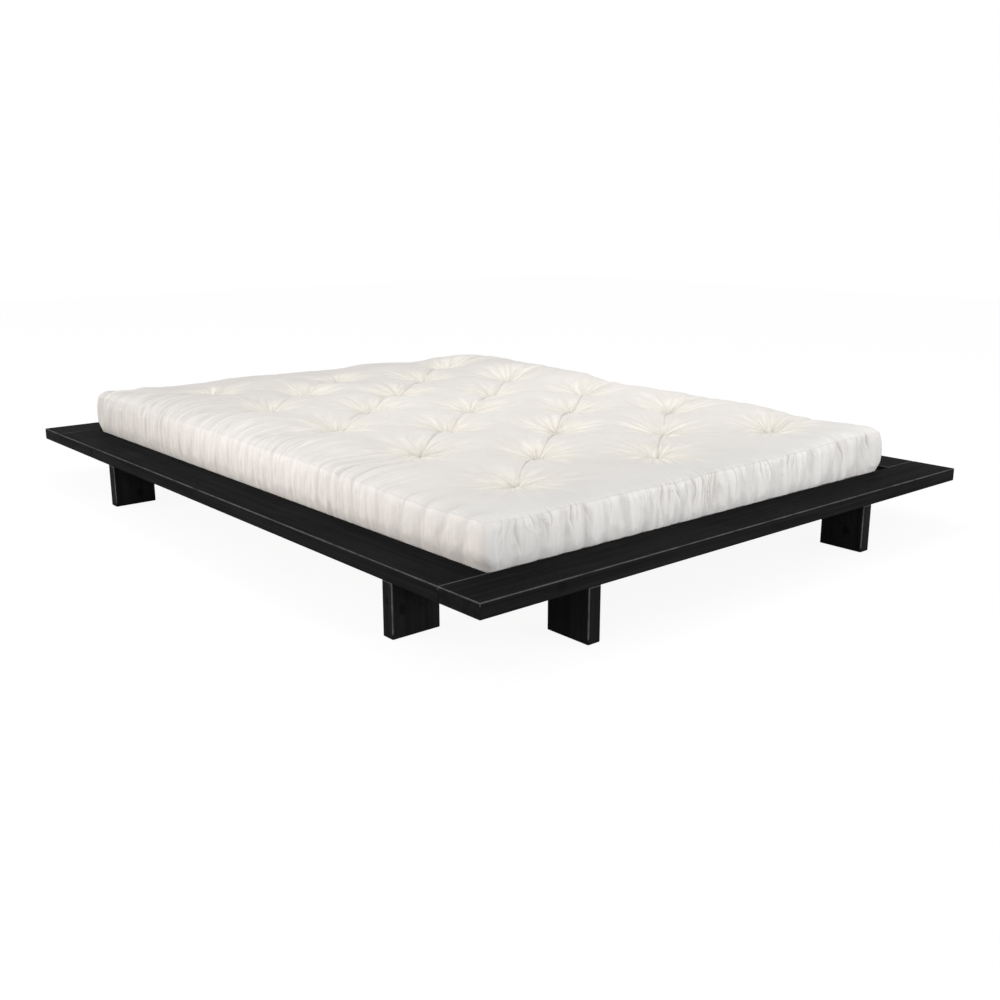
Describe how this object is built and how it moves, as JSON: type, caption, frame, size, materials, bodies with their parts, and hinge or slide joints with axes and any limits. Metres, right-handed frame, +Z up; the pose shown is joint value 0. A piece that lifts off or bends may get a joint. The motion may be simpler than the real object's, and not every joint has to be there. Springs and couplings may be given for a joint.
{
  "type": "double bed",
  "caption": "Low platform double bed: a flat frame of wide black planks on plank legs, with a slat base and a tufted cream futon mattress lying in its recess.",
  "frame": {"origin": "middle of the bed's footprint, on the floor", "axes": "+Y along the bed from the foot to the head, +X to the right seen from the foot, +Z up"},
  "size_m": [1.74, 2.28, 0.3076],
  "materials": {
    "black_lacquer": "satin",
    "pine_slat": "matte",
    "webbing": "matte",
    "dowel_beech": "matte",
    "zinc_plate": "satin",
    "screw_steel": "satin",
    "cotton_cover": "matte",
    "foam": "matte",
    "thread": "matte"
  },
  "bodies": {
    "frame": {"side_rail_left": "black_lacquer", "side_rail_right": "black_lacquer", "foot_rail": "black_lacquer", "head_rail": "black_lacquer", "leg_left_foot": "black_lacquer", "leg_left_head": "black_lacquer", "leg_right_foot": "black_lacquer", "leg_right_head": "black_lacquer", "leg_foot_left": "black_lacquer", "leg_foot_right": "black_lacquer", "leg_head_left": "black_lacquer", "leg_head_right": "black_lacquer", "ledge_left": "black_lacquer", "ledge_right": "black_lacquer", "ledge_foot": "black_lacquer", "ledge_head": "black_lacquer", "centre_beam": "black_lacquer", "centre_leg_foot": "black_lacquer", "centre_leg_head": "black_lacquer", "slat_01": "pine_slat", "slat_02": "pine_slat", "slat_03": "pine_slat", "slat_04": "pine_slat", "slat_05": "pine_slat", "slat_06": "pine_slat", "slat_07": "pine_slat", "slat_08": "pine_slat", "slat_09": "pine_slat", "slat_10": "pine_slat", "slat_11": "pine_slat", "slat_12": "pine_slat", "slat_13": "pine_slat", "slat_14": "pine_slat", "slat_15": "pine_slat", "slat_16": "pine_slat", "webbing_left": "webbing", "webbing_right": "webbing", "corner_dowels": "dowel_beech", "leg_dowels": "dowel_beech", "centre_leg_dowels": "dowel_beech", "corner_plates": "zinc_plate", "leg_brackets": "zinc_plate", "beam_shoes": "zinc_plate", "slat_screws": "screw_steel", "corner_plate_screws": "screw_steel", "leg_bracket_screws": "screw_steel", "ledge_screws": "screw_steel", "beam_shoe_screws": "screw_steel", "webbing_staples": "screw_steel"},
    "mattress": {"mattress_cover": "cotton_cover", "foam_core": "foam", "tuft_threads": "thread"}
  },
  "joints": [
    {"name": "mattress_lift", "type": "slide", "parent": "frame", "child": "mattress", "axis": [0, 0, 1], "range_m": [0, 0.3]}
  ]
}
